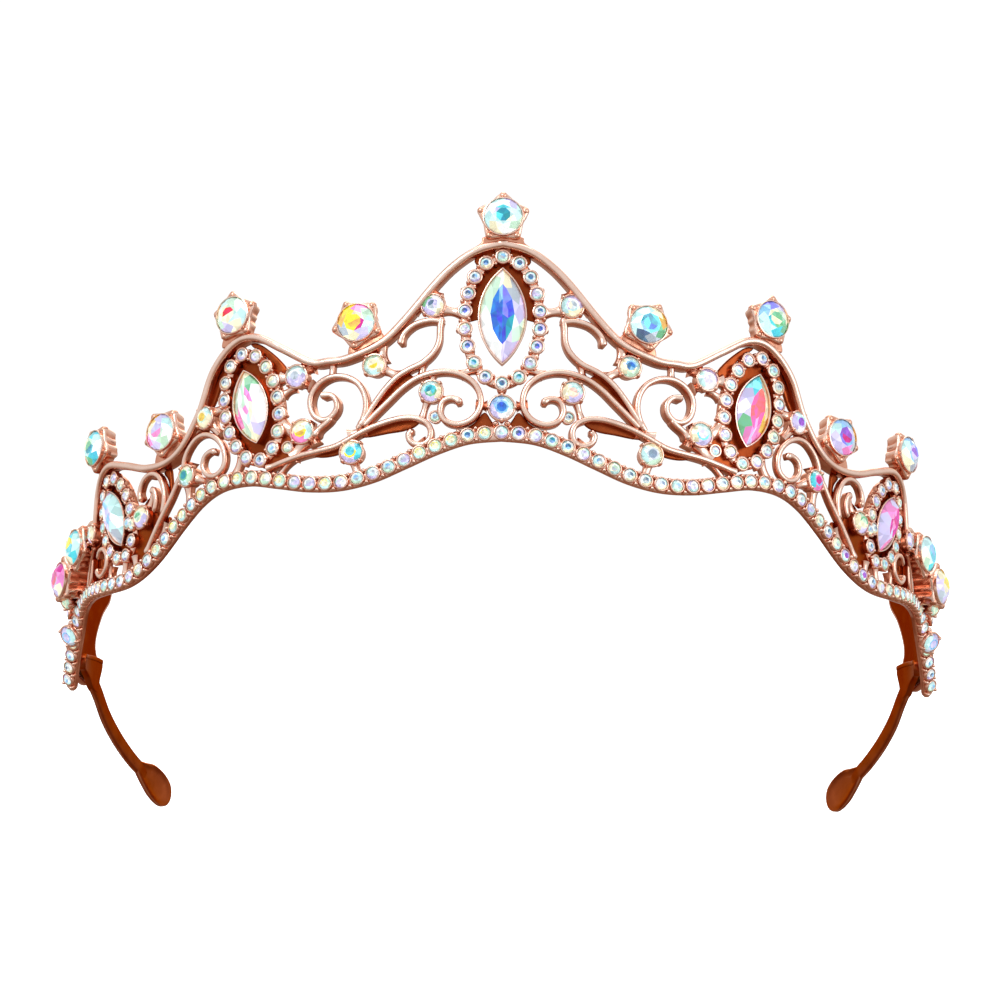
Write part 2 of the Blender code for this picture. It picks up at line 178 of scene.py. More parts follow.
# Scroll wires by the CAD piece that each belongs to
SCROLLS = {
    "heart_scroll": [
        [(9.2, 19), (9.5, 17.2), (9.6, 15), (10.4, 13.2), (12.1, 11.6), (14.2, 10.6), (16, 9.5),
         (17.7, 7.8), (19.2, 5.8), (20.5, 3.8), (21.8, 1.9)],
        [(8.8, 17.9), (10.9, 18.3), (13.4, 17.7), (15.1, 16.2), (15.6, 14.4)],
    ],
    "c_scroll": [
        [(21.3, 1.8), (19.4, 3.7), (17.3, 5.7), (15.3, 7.6), (13.1, 9.1), (10.8, 9.9), (8.3, 10.1),
         (6, 9.5), (4.2, 8.2), (3.3, 6.4), (3.3, 4.4), (4.5, 2.6), (6.5, 1.8), (8.4, 2.3), (9.3, 3.8),
         (9, 5.3), (7.9, 5.9), (6.7, 5.6), (6.2, 4.8)],
    ],
    "low_scroll": [
        [(13.3, 1.2), (14.1, 0.4), (13.7, -0.8), (12.3, -1.3), (11, -0.6), (10.7, 0.9), (11.5, 2.2),
         (13.2, 2.9), (15.3, 2.95), (17.8, 2.4), (20.2, 1.6), (22.4, 0.6), (25.5, -0.9), (28.5, -1.5),
         (31.5, -2), (34.5, -2.8), (37.5, -3.7)],
    ],
    "middle_spiral": [
        [(22.2, 1.3), (21.2, 3.2), (20.8, 5.2), (21.2, 7.3), (22.4, 9), (24.4, 10), (26.6, 10.1),
         (28.5, 9.2), (29.7, 7.6), (29.9, 5.9), (29.3, 4.3), (28, 3.4), (26.6, 3.6), (25.6, 4.8),
         (25.6, 6.2), (26.6, 7.2), (28.4, 7.2)],
        [(26.2, 3.9), (27, 3), (28.5, 1.8), (29.2, 0.6)],
    ],
    "side_spiral": [
        [(54.3, -1.9), (54.2, -0.4), (53.3, 1.2), (51.6, 2.7), (49.6, 3.2), (47.4, 2.6), (45.7, 1.1),
         (45, -0.9), (45.4, -2.7), (46.9, -3.7), (48.7, -3.3), (49.7, -1.9), (49.3, -0.4), (47.9, 0.3),
         (46.6, 0)],
    ],
    "outer_stem": [
        [(54.3, -2.2), (55.4, -3.4), (57, -6), (59.2, -9), (61.2, -12), (62.8, -14.6)],
        [(59.1, -8.6), (58.7, -6), (59.2, -3.7), (60.5, -2), (62.3, -1.5), (64.1, -2.3), (65, -4.1),
         (64.6, -5.8)],
        [(61.2, -8), (60.7, -6.3), (61.1, -4.6), (62.2, -4)],
        [(78.6, -13.2), (77.6, -11.9), (75.8, -11.9), (74.4, -13.2), (74.5, -15.1), (76, -16.2),
         (77.8, -15.8), (78.4, -14.6)],
        [(85, -17), (83.4, -13.4), (80.9, -10.4)],
    ],
}
# Low webs of metal that join the wires and cups: start, end and width
WEBS = {
    "heart_scroll": [
        ((6.7, 19.7), (8.9, 20.1), 1.5), ((10.2, 22.3), (11.2, 23.4), 1.7),
        ((12.2, 20.8), (13.2, 20.4), 1.5), ((12.3, 11.2), (12.4, 9.9), 1.2),
        ((16.4, 10), (18.2, 10.9), 1.5), ((18.6, 12.4), (18.8, 15), 1.9), ((20.2, 12.8), (21.6, 13.6), 1.6),
    ],
    "c_scroll": [
        ((4.4, 10.6), (6.1, 9.9), 1.3), ((8.9, 5.9), (10, 6.6), 1.3), ((10.9, 8.6), (10.6, 9.7), 1.2),
        ((11.5, 5.6), (12.2, 3.1), 1.1), ((2.6, 4.9), (3.6, 5), 1.3),
    ],
    "low_scroll": [
        ((23, -3), (22.1, -5.6), 1.5), ((23.2, -0.8), (23.4, 0.1), 1.6), ((33.6, -2.6), (35.6, -4.9), 1),
        ((11.6, -1.5), (12.2, -0.8), 1.6), ((21.2, 1.5), (23.4, 0.8), 1.7),
    ],
    "middle_spiral": [
        ((26.7, 10.2), (26.7, 12.6), 1.1), ((30.2, 12.2), (31.2, 11.9), 1.9),
        ((30.6, 9.3), (31.6, 9.7), 1.6), ((29.3, 0), (30.3, 2.6), 1.6), ((33.2, 10.6), (35.2, 10.9), 1.7),
        ((32.6, 1.8), (34.9, 3), 2.2), ((33.4, 9), (34.8, 8.3), 1.2), ((31.2, 0.3), (33, -1.6), 2.2),
    ],
    "side_spiral": [
        ((46, 7.3), (48.6, 6.8), 1.7), ((47, 3.1), (48.7, 4.9), 1.8), ((51, 5), (52.9, 4.3), 2),
        ((53.3, -1), (53.7, -2.4), 1.2), ((51.6, -3.6), (49.4, -4.2), 1.3),
        ((42.3, -1.2), (43.5, -3.9), 1.5),
    ],
    "outer_stem": [
        ((53.9, -4.4), (53.4, -8), 1.6), ((59, -10), (60.2, -12.6), 2.2), ((61.4, -13.2), (62.8, -14.9), 2),
        ((62.4, -1.6), (62.6, -0.4), 1.4), ((62.2, -4.6), (63.4, -6.8), 1.4),
        ((66.2, -8.3), (67.2, -8.4), 1.6), ((69.5, -14.4), (69.8, -17.4), 1.5),
        ((74.6, -15.4), (74.2, -17.6), 1.3), ((77.6, -3.6), (79.6, -3.7), 1.5),
        ((78.4, -9.2), (81.6, -9.7), 2.2), ((66.6, -14.6), (66.2, -17.2), 1.3),
        ((80.2, -5.4), (80.8, -8.4), 1.6),
    ],
}
# Side plate and arm tab, as flat outlines
PLATE_OUTLINE = [
    (83, -7), (86, -5.6), (92, -5.8), (98, -7), (108, -7.4), (119, -7), (127.5, -7.4), (131.6, -9),
    (131.4, -11.4), (128.5, -14.5), (126.2, -18.5), (125.8, -21), (127, -23.6), (126.2, -26.4),
    (123.5, -27.8), (119, -27.4), (115.5, -27), (112, -27.2), (109.6, -28.2), (106.1, -26.2),
    (102.2, -22.4), (98, -18.8), (93.5, -16.6), (88, -16.3), (83.2, -16.2), (82.6, -12),
]
PLATE_SCROLLS = [
    [(90, -8.4), (96, -9), (102, -10.6), (107, -13.6), (112, -15.6), (117, -14.6), (119, -12),
     (117.4, -9.9), (114.8, -10.6), (114.6, -12.6)],
    [(126.6, -9.4), (123.8, -11), (122.2, -13.8), (122.2, -17), (124, -18.6), (125.2, -16.8),
     (124.4, -15.4)],
    [(104, -19.6), (108.5, -21.4), (113, -24.4), (117.6, -25.6), (121, -24.4), (121, -22.4), (119, -22)],
]
TAB_OUTLINE = [
    (110.5, -24.4), (118, -23.7), (124, -23.4), (125.4, -24.2), (125, -25.6), (124.2, -27.2),
    (123.4, -29.6), (120.4, -29.2), (117.5, -27.6), (114, -26.9), (111, -26.9), (109.6, -26),
]
# Cut colours that rainbow-coated crystal shows, as sRGB: the coating's own hues together with painted
# reflections, the white ones painted highlights
TINTS = {
    "white": (246, 250, 250), "ice": (196, 240, 240), "cream": (246, 240, 206), "mint": (196, 230, 206),
    "lilac": (204, 198, 240), "grey": (178, 190, 202), "teal": (30, 146, 168), "aqua": (84, 206, 222),
    "blue": (40, 106, 200), "cobalt": (64, 84, 216), "periwinkle": (122, 128, 240),
    "sky": (140, 192, 238),
    "violet": (142, 84, 200), "magenta": (206, 30, 142), "pink": (240, 142, 206), "rose": (232, 48, 84),
    "yellow": (248, 230, 62), "gold": (228, 184, 84), "slate": (84, 112, 142), "green": (112, 186, 142),
    "peach": (246, 208, 190), "steel": (58, 112, 164), "mist": (222, 232, 236),
}
# Heart, table and crown colours of each stone, counter-clockwise from the right on the right half
# and mirrored on the left half
LARGE_STONES = {
    "crest": "teal teal aqua teal/ice aqua lilac ice ice cream/ice lilac ice white ice cream white mint",
    "inner_peak_right": "teal aqua blue/aqua teal sky aqua/gold cream ice ice ice slate grey green",
    "inner_peak_left": "yellow gold/yellow cream magenta yellow/gold yellow pink mint ice lilac cream "
        "grey",
    "outer_peak_right": "green cream/mint cream aqua green/cream lilac periwinkle sky ice ice aqua green",
    "outer_peak_left": "rose cream/cream mint ice cream/cream ice mint white ice cream lilac mint",
    "shoulder_right": "violet magenta/lilac violet periwinkle sky/gold sky sky ice lilac lilac pink grey",
    "shoulder_left": "lilac pink/cream lilac mint white/cream gold lilac ice white mint lilac pink",
    "temple_right": "violet lilac/periwinkle lilac sky grey/lilac sky sky ice cream cream grey lilac",
    "temple_left": "green teal/cream mint aqua ice/yellow mint aqua ice white aqua green cream",
    "side_upper_right": "sky aqua/aqua sky ice aqua/aqua sky ice ice cream mint aqua sky",
    "side_upper_left": "yellow aqua/cream yellow aqua ice/yellow cream aqua ice ice aqua cream mint",
    "side_lower_right": "yellow cream/yellow yellow cream lilac/yellow yellow cream lilac grey lilac "
        "cream",
    "side_lower_left": "magenta rose/pink magenta lilac pink/lilac pink magenta pink cream lilac violet",
}
MARQUISE_STONES = {
    "centre_marquise": "periwinkle blue cobalt blue/cobalt periwinkle sky blue blue blue cobalt teal/"
        "lilac grey cream white mint mint white white white lilac lilac mint",
    "inner_marquise_right": "rose rose magenta rose/rose rose rose magenta rose magenta pink magenta/"
        "cream cream mint aqua aqua lilac lilac green pink lilac pink gold",
    "inner_marquise_left": "mint white pink/white mint pink cream ice white/mint white cream green white "
        "white lilac cream mint pink",
    "outer_marquise_right": "magenta pink/magenta magenta pink magenta lilac magenta/pink magenta lilac "
        "pink lilac lilac pink grey",
    "outer_marquise_left": "lilac sky/white sky lilac ice lilac/white lilac ice ice grey white",
}
# Baskets as in part.py: u, v, lift, turn in degrees and turn towards the front in degrees
BASKETS = {
    "crest": (0, 34.6, 0, 0, 0),
    "inner_peak": (22.4, 18.3, 0, 30, 0),
    "outer_peak": (43.9, 21.8, 0, 6, 0),
    "shoulder": (59.4, 4.8, 0, 36, 4),
    "temple": (80.1, 5.8, 0.4, 36, 12),
    "side_upper": (85.3, -10.2, 2, 36, 13),
    "side_lower": (93.8, -14.3, 2.8, 0, 9),
}
# Marquises as in part.py: u, v, tilt, stone width and length, halo half axes, halo stones, halo centre's v
MARQUISES = {
    "centre_marquise": (0, 18.9, 0, (7, 15), (5.8, 10.1), 18, 18.35),
    "inner_marquise": (40.5, 6.7, 13, (6, 12), (4.9, 8.95), 16, 6.7),
    "outer_marquise": (72.4, -7.2, 29, (5.2, 11), (4.4, 7.7), 14, -7.2),
}
# Low plates that tie each basket to the wire under it
FEET = {
    "crest": [(-2.7, 31.7), (2.7, 31.7), (3.3, 30.7), (4.8, 29.5), (2, 29.7), (-2, 29.7), (-4.8, 29.5),
        (-3.3, 30.7)],
    "inner_peak": [(18.2, 15.4), (18.6, 16.8), (20.2, 17), (22.4, 16.2), (23.6, 15.2), (23.8, 13.4),
        (21.4, 13.9), (19.6, 14.7)],
    "outer_peak": [(41.2, 18.3), (42.2, 19.6), (43.9, 19.6), (45.8, 19.2), (46.4, 17), (43.8, 17.4)],
    "shoulder": [(55, 1.8), (56.2, 3.2), (58.4, 2.8), (60.6, 2.6), (61.4, -0.2), (58.4, -0.2), (56.2, 0.6)],
    "temple": [(75.8, 1.6), (77.4, 3.4), (79.2, 3.4), (80.4, 2.8), (80, -0.8), (78, 0.6)],
}
# Low plates of metal that close the narrow gaps, all in painted shade: owner and outline
LEAVES = [
    ("c_scroll", [(5.8, 1), (4.2, 2.2), (2.7, 3.9), (1.8, 3), (1.4, 1.4)]),
    ("c_scroll", [(14.6, 10.2), (16, 9.3), (17.7, 7.6), (19.2, 5.6), (20.5, 3.6), (21.5, 2), (19.6, 3.9),
        (17.3, 6), (15.5, 7.9), (13.6, 9.4)]),
    ("low_scroll", [(12.6, 2.8), (15.3, 2.9), (17.8, 2.3), (20.2, 1.5), (22.2, 0.6), (20.4, 0.5),
        (17.6, 0.9), (15.2, 1.2), (13.4, 1.8)]),
    ("low_scroll", [(22.8, 0.2), (25.5, -0.9), (28.5, -1.5), (30.4, -1.8), (28, -2.3), (25, -1.8)]),
    ("heart_scroll", [(1.2, 29.6), (3.6, 29.2), (4.4, 27.9), (2.9, 26.9), (1.2, 28)]),
    ("middle_spiral", [(31.6, -0.2), (33.6, 1.6), (35.4, 3.6), (37.4, 0.4), (39.2, -2.4), (37.2, -3.4),
        (34, -2.4)]),
    ("middle_spiral", [(34.6, 12.2), (36.6, 14.6), (39.8, 17), (41.4, 17), (38.4, 14.6), (36.2, 11.6)]),
    ("side_spiral", [(44.6, 16), (48, 12), (50.2, 7.4), (48.6, 8.2), (46.6, 12), (43.8, 15)]),
    ("outer_stem", [(58.8, -0.8), (60.2, -1.5), (59, -3), (58.5, -5.6), (58, -4.8), (58.3, -2.4)]),
    ("outer_stem", [(58.6, -8.8), (61.2, -12.4), (63.2, -15), (61.6, -15), (58.4, -12.2)]),
    ("outer_stem", [(61, -9.6), (63, -13), (65.2, -16.6), (67.6, -16.8), (67.6, -12.6), (66.6, -9),
        (64.6, -5.6), (62.4, -5.2)]),
    ("outer_stem", [(77.2, 0.4), (79.2, -1.6), (79.8, -5), (79.6, -8.4), (77.8, -6.6), (78, -2.6)]),
    ("outer_stem", [(75.2, -0.4), (77.6, 0.2), (79.4, -2), (80, -5.4), (80.2, -9), (78.6, -9), (77.4, -4.6),
        (76.2, -2.2)]),
    ("outer_stem", [(78.2, -8.6), (81.6, -8.6), (84.2, -8), (84.2, -16.6), (76.6, -17), (79.4, -13.6)]),
]
# Round stones between the scrolls: u, v, lift, stone radius, right-hand colours, left-hand colours, owner
MEDIUM_STONES = [
    (10.6, 20.7, 0, 1.68, "grey cream mist/white lilac ice/lilac ice cream",
     "slate lilac grey/lilac mist/green white cream lilac",
     "heart_scroll"),
    (19.6, 11.5, 0.1, 1.62, "blue steel sky/sky cream/ice cream mint",
     "cream yellow/cream/mint cream ice", "heart_scroll"),
    (10.7, 7, 0.1, 1.62, "peach cream/ice cream peach/ice cream lilac",
     "teal aqua mint/aqua green/ice cream lilac",
     "c_scroll"),
    (32.4, 10.7, 0, 1.68, "lilac/cream lilac/lilac ice white", "grey/white lilac/ice lilac",
     "middle_spiral"),
    (31.2, 1.8, 0, 1.78, "lilac/ice aqua/ice cream lilac", "cream gold/cream yellow/cream ice pink",
     "middle_spiral"),
    (23, -2, 0, 1.72, "slate/grey/cream ice mint", "aqua/ice yellow/cream aqua lilac",
     "low_scroll"),
    (49.7, 6, 0, 1.7, "violet/ice lilac/ice lilac white", "gold/cream mint/ice cream", "side_spiral"),
    (53.5, -3, 0.1, 1.62, "magenta/pink sky/ice aqua pink", "teal/green/cream mint ice", "outer_stem"),
    (64.3, -8.3, 0.1, 1.72, "mint cream/green cream/mint cream lilac",
     "green mint/mint cream/cream lilac", "outer_stem"),
    (80.6, -8.6, 0.6, 1.6, "slate/grey/ice lilac grey", "aqua/mint/ice cream lilac", "outer_stem"),
]
# Small round stones among the scrolls: u, v, lift, stone radius and owner
SMALL_STONES = [
    (33.8, -0.4, -0.3, 0.8, "middle_spiral"), (10.1, 3.1, -0.2, 0.8, "c_scroll"),
    (68.3, -8.6, 0, 0.9, "outer_stem"), (95.8, -9.2, 0.9, 1.2, "end_plate"),
    (99, -14.4, 0.5, 1.2, "end_plate"), (103, -15.6, 0.4, 1, "end_plate"),
    (108.4, -17.4, 0.3, 0.9, "end_plate"),
]


def plan_table():
    """Arc length, place and heading along the head opening, in millimetres."""
    angle = np.linspace(0.0, radians(150.0), 3001)
    x = HALF_WIDTH * np.sin(angle)
    y = HALF_DEPTH * (1.0 - np.cos(angle))
    run = np.concatenate([[0.0], np.cumsum(np.hypot(np.diff(x), np.diff(y)))])
    heading = np.arctan2(HALF_DEPTH * np.sin(angle), HALF_WIDTH * np.cos(angle))
    return run, x, y, heading


RUN, PLAN_X, PLAN_Y, PLAN_HEADING = plan_table()


def ease(value, low, high):
    """Smooth step from 0 at low to 1 at high."""
    share = np.clip((value - low) / (high - low), 0, 1)
    return share * share * (3 - 2 * share)


def bend(flat):
    """World places of flat places, as an array of rows. The left half has negative u."""
    u, v, w = np.asarray(flat, float).T
    side = np.where(u < 0, -1.0, 1.0)
    reach = np.abs(u)
    w = w - FLANK_INSET * ease(reach, 74, 92) * (1 - ease(reach, 94, 118))
    reach = reach - FLANK_DRAW * ease(reach, 45, 58) * (1 - ease(reach, 98, 108))
    along = np.minimum(reach, STRAIGHT_FROM)
    past = reach - along
    heading = np.interp(along, RUN, PLAN_HEADING)
    x = np.interp(along, RUN, PLAN_X) + past * np.cos(heading) + w * np.sin(heading)
    y = np.interp(along, RUN, PLAN_Y) + past * np.sin(heading) - w * np.cos(heading)
    back = y * cos(PITCH) + v * sin(PITCH)
    rise = v * cos(PITCH) - y * sin(PITCH)
    return np.stack([side * x, back - FRONT_TO_ORIGIN, rise + FRONT_HEIGHT], axis=1) * MM


def smooth_line(points, step=WIRE_STEP, closed=False):
    """Catmull-Rom curve through the points, as an array sampled about every step millimetres."""
    knots = [np.array(p, float) for p in points]
    if closed:
        knots = [knots[-1]] + knots + knots[:2]
    else:
        knots = [knots[0] * 2 - knots[1]] + knots + [knots[-1] * 2 - knots[-2]]
    line = []
    for a, b, c, d in zip(knots, knots[1:], knots[2:], knots[3:]):
        count = max(2, ceil(np.linalg.norm(c - b) / step))
        for i in range(count):
            t = i / count
            line.append(0.5 * (2 * b + (c - a) * t + (2 * a - 5 * b + 4 * c - d) * t * t
                               + (3 * b - a - 3 * c + d) * t ** 3))
    if not closed:
        line.append(knots[-2])
    return np.array(line)


def turn_flat(points, degrees):
    """Flat points turned about the origin, clockwise for positive degrees."""
    lean = radians(-degrees)
    x, y = points[..., 0], points[..., 1]
    return np.stack([x * cos(lean) - y * sin(lean), x * sin(lean) + y * cos(lean)], axis=-1)


def headings(line, closed=False):
    """Unit direction at each point of a flat line."""
    if closed:
        ahead = np.roll(line, -1, axis=0) - np.roll(line, 1, axis=0)
    else:
        ahead = np.gradient(line, axis=0)
    return ahead / np.linalg.norm(ahead, axis=1)[:, None]


def left_of(ahead):
    """Directions a quarter turn to the left of the given ones."""
    return np.stack([-ahead[:, 1], ahead[:, 0]], axis=1)


def running_length(line):
    """Length from a line's first point to each of its points."""
    return np.concatenate([[0], np.cumsum(np.linalg.norm(np.diff(line, axis=0), axis=1))])


def points_at(line, wanted):
    """Places at the wanted lengths along a flat line."""
    run = running_length(line)
    return np.stack([np.interp(wanted, run, line[:, 0]), np.interp(wanted, run, line[:, 1])], axis=1)


def ring_at(flat, place, height):
    """Flat ring of points, moved to a place at one height."""
    return np.column_stack([flat + np.array(place), np.full(len(flat), height)])


def srgb(red, green, blue):
    """Linear colour of an sRGB colour given from 0 to 255."""
    return tuple(c / 255 / 12.92 if c < 11 else ((c / 255 + 0.055) / 1.055) ** 2.4 for c in (red, green,
                                                                                             blue))


class Shape:
    """Faces gathered in flat millimetres, with painted light and shade at each corner of metal or a tint on
    each facet.
    """

    def __init__(self):
        self.places = []
        self.faces = []
        self.painted_lights = []
        self.tints = []
        self.shaded = set()

    def add(self, places, faces, painted_lights=None, tints=None, shaded=()):
        start = len(self.places)
        self.shaded.update(len(self.faces) + i for i in shaded)
        self.places.extend(map(tuple, places))
        self.faces.extend([tuple(start + i for i in face) for face in faces])
        self.painted_lights.extend(painted_lights if painted_lights is not None else [0.5] * len(places))
        self.tints.extend(tints if tints is not None else [])

    def loft(self, rings, painted_lights, closed=False):
        """Skin over rings of places. Open lofts get flat ends."""
        rings = np.asarray(rings, float)
        rows, count = rings.shape[:2]
        index = np.arange(rows * count).reshape(rows, count)
        below = np.concatenate([index, index[:1]]) if closed else index
        faces = []
        for lower, upper in zip(below, below[1:]):
            faces += zip(lower, np.roll(lower, -1), np.roll(upper, -1), upper)
        if not closed:
            faces += [tuple(index[0][::-1]), tuple(index[-1])]
        painted_lights = np.broadcast_to(np.asarray(painted_lights, float), (rows, count))
        self.add(rings.reshape(-1, 3), faces, painted_lights.ravel().tolist())


def tie(shape, start, end, width):
    """Short low web that spreads where it meets its neighbours."""
    start, end = np.array(start), np.array(end)
    reach = (end - start) / np.linalg.norm(end - start) * 0.35
    wire(shape, [start - reach, (start + end) / 2, end + reach], width, WEB_DEPTH, lift=WEB_LIFT,
         step=0.25,
         flare=0.55)


def wire_section(width, depth):
    """Section of a cast wire as rows of (across, out, painted light): domed front with a painted highlight,
    drafted sides, eased back in painted shade.
    """
    half, dome = width / 2, min(width * 0.42, depth / 3)
    rows = []
    for i in range(9):
        swing = pi * i / 8
        rows.append((half * cos(swing), depth / 2 - dome + dome * sin(swing),
                     0.25 + 0.75 * sin(swing) ** 1.3))
    for across, out, painted_light in ((-0.97, 0.0, 0.12), (-0.9, -0.42, 0.05), (-0.6, -0.5, 0.3),
                              (0.6, -0.5, 0.3),
                              (0.9, -0.42, 0.05), (0.97, 0.0, 0.12)):
        rows.append((half * across, depth * out, painted_light))
    return np.array(rows)


def wire(shape, points, width, depth, lift=0.0, knob=0.0, closed=False, step=WIRE_STEP, flare=0.0):
    """Cast wire along a flat line, with rounded ends. A knob swells its last end; a flare spreads both."""
    line = smooth_line(points, step, closed)
    across = left_of(headings(line, closed))
    section = wire_section(width, depth)
    run = running_length(line)
    size = np.ones(len(line))
    if flare:
        size *= 0.85 + flare * (2 * run / run[-1] - 1) ** 2
    elif not closed:
        to_end = run[-1] - run
        nearest = np.minimum(run, to_end)
        size *= np.sqrt(np.clip(1 - (1 - np.clip(nearest / (width * 0.55), 0, 1)) ** 2, 0.04, 1))
        size *= 1 + knob * np.exp(-((to_end - width * 0.6) / (width * 0.55)) ** 2)
    rings = np.zeros((len(line), len(section), 3))
    rings[:, :, :2] = line[:, None] + across[:, None] * section[None, :, :1] * size[:, None, None]
    rings[:, :, 2] = lift + section[None, :, 1] * (0.25 + 0.75 * size[:, None])
    shape.loft(rings, section[:, 2], closed)


def turned(shape, place, lift, profile, outline):
    """Body round a place: a flat outline scaled and lifted by each (radius, height, painted light) row."""
    rings = [ring_at(outline * radius, place, lift + height) for radius, height, _ in profile]
    shape.loft(rings, np.array([row[2] for row in profile])[:, None])


def bead(shape, place, lift, radius, height, painted_light=0.85):
    """Small raised grain or prong tip, painted lighter towards its top as a highlight."""
    rows = [(radius * cos(a), height * sin(a), painted_light * (0.45 + 0.55 * sin(a))) for a in np.linspace(0,
                                                                                                   1.45,
                                                                                                   5)]
    turned(shape, place, lift, [(radius, -0.6, 0.2)] + rows, round_outline(9))


def cup(shape, place, lift, radius, bore, back, sides=18):
    """Round collet that holds a stone: tapered wall, with a painted highlight on the lip and painted shade
    in the bore.
    """
    turned(shape, place, lift, [
        (radius * 0.55, back, 0.2), (radius * 0.82, back + 0.1, 0.1), (radius * 0.93, -0.3, 0.15),
        (radius, 0.25, 0.5), (radius * 0.985, 0.45, 0.75), (radius * 0.93, 0.54, 0.85),
        (bore * 1.04, 0.54, 0.7), (bore, 0.42, 0.25), (bore * 0.96, -0.1, 0.1),
    ], round_outline(sides))


def tint(name, glow=1.0):
    """Linear colour of a named tint, with its alpha."""
    return tuple(min(1.0, c * glow) for c in srgb(*TINTS[name])) + (1.0,)


def round_outline(count):
    """Corners of a circle of unit radius."""
    angle = np.linspace(0, 2 * pi, count, endpoint=False)
    return np.stack([np.cos(angle), np.sin(angle)], axis=1)


def navette_outline(count, half_u, half_v):
    """Pointed oval made of two arcs, with its corners evenly spread over the height."""
    arc = (half_u ** 2 + half_v ** 2) / (2 * half_u)
    angle = np.linspace(0, 2 * pi, count, endpoint=False)
    y = half_v * np.sin(angle)
    x = np.sqrt(arc ** 2 - y ** 2) - (arc - half_u)
    return np.stack([np.where(np.cos(angle) < 0, -x, x), y], axis=1)


def cut_stone(shape, place, lift, outline, mood, dice, tilt=0.0, table=(0.56, 0.56), height=1.0,
              heart_share=0.5, dim=0.78):
    """Brilliant-cut stone, 4 corners of outline to a main facet, tinted by the mood's three colour rows."""
    hearts, tables, crowns = [row.split() for row in mood.split("/")]
    count = len(outline) // 4
    ring = outline
    mains, halves = ring[::4], ring[2::4]
    heart = np.array(table) * heart_share
    levels = [
        ([[0.0, 0.0]], height), (halves * heart, height), (mains * np.array(table), height),
        (halves * (0.5 + 0.5 * np.array(table)), height * 0.55), (ring[::2], 0.0), (ring[::2], -0.22),
        (mains * 0.25, -0.9),
    ]
    places, starts = [], []
    for points, level in levels:
        starts.append(len(places))
        for x, y in turn_flat(np.array(points, float), tilt):
            places.append((place[0] + x, place[1] + y, lift + level))
    centre, inner, top, middle, girdle, lower, tip = starts
    faces, tints = [], []

    # Painted light: each facet's tint is brightened on table and crown, darkened on the pavilion, and
    # varied at random from dim up as painted sparkle.
    def facet(corners, row, share, glow):
        faces.append(corners)
        name = row[int(share % 1.0 * len(row))]
        tints.append(tint(name, glow * dice.uniform(dim, 1.12)))

    for i in range(count):
        j, before = (i + 1) % count, (i - 1) % count
        share, half = i / count, (i + 0.5) / count
        first, second, third = girdle + 2 * i, girdle + 2 * i + 1, girdle + (2 * i + 2) % (2 * count)
        facet((centre, inner + before, inner + i), hearts, share, 1.0)
        facet((inner + before, top + i, inner + i), tables, share, 0.9)
        facet((inner + i, top + i, top + j), tables, half, 1.1)
        facet((top + i, middle + i, top + j), crowns, half, 1.12)
        facet((top + i, middle + before, first, middle + i), crowns, share, 0.95)
        facet((middle + i, first, second), crowns, half, 0.85)
        facet((middle + i, second, third), crowns, half, 1.05)
        for a, b in ((2 * i, 2 * i + 1), (2 * i + 1, (2 * i + 2) % (2 * count))):
            facet((girdle + a, lower + a, lower + b, girdle + b), crowns, share, 0.6)
        facet((lower + 2 * i, tip + i, lower + 2 * i + 1), crowns, share, 0.4)
        facet((lower + 2 * i + 1, tip + i, tip + j), crowns, share, 0.4)
        facet((lower + 2 * i + 1, tip + j, lower + (2 * i + 2) % (2 * count)), crowns, share, 0.4)
    # Culet in dark grey, painted shade.
    faces.append(tuple(tip + i for i in range(count))[::-1])
    tints.append(tint("grey", 0.4))
    shape.add(places, faces, tints=tints)


def add_node(tree, kind, inputs=(), **settings):
    """New shader node with its settings and input values."""
    made = tree.nodes.new("ShaderNode" + kind)
    for name, value in settings.items():
        setattr(made, name, value)
    set_inputs(made, inputs)
    return made


def set_inputs(node, inputs):
    for name, value in dict(inputs).items():
        node.inputs[name].default_value = value


def join(tree, first, output, second, entry):
    tree.links.new(first.outputs[output], second.inputs[entry])


def add_ramp(tree, *stops):
    """Colour ramp of (position, colour) stops: the lowest, the highest, then any between."""
    made = add_node(tree, "ValToRGB")
    elements = made.color_ramp.elements
    for i, (position, colour) in enumerate(stops):
        stop = elements[i] if i < 2 else elements.new(position)
        stop.position = position
        stop.color = colour + (1.0,)
    return made


def add_noise(tree, place, scale, detail):
    """Noise in the object's own coordinates."""
    noise = add_node(tree, "TexNoise", {"Scale": scale, "Detail": detail})
    join(tree, place, "Object", noise, "Vector")
    return noise


def make_material(name, inputs):
    """New material with its node tree and its shader, whose inputs are set."""
    made = bpy.data.materials.new(name)
    made.use_nodes = True
    shader = made.node_tree.nodes["Principled BSDF"]
    set_inputs(shader, inputs)
    return made, made.node_tree, shader


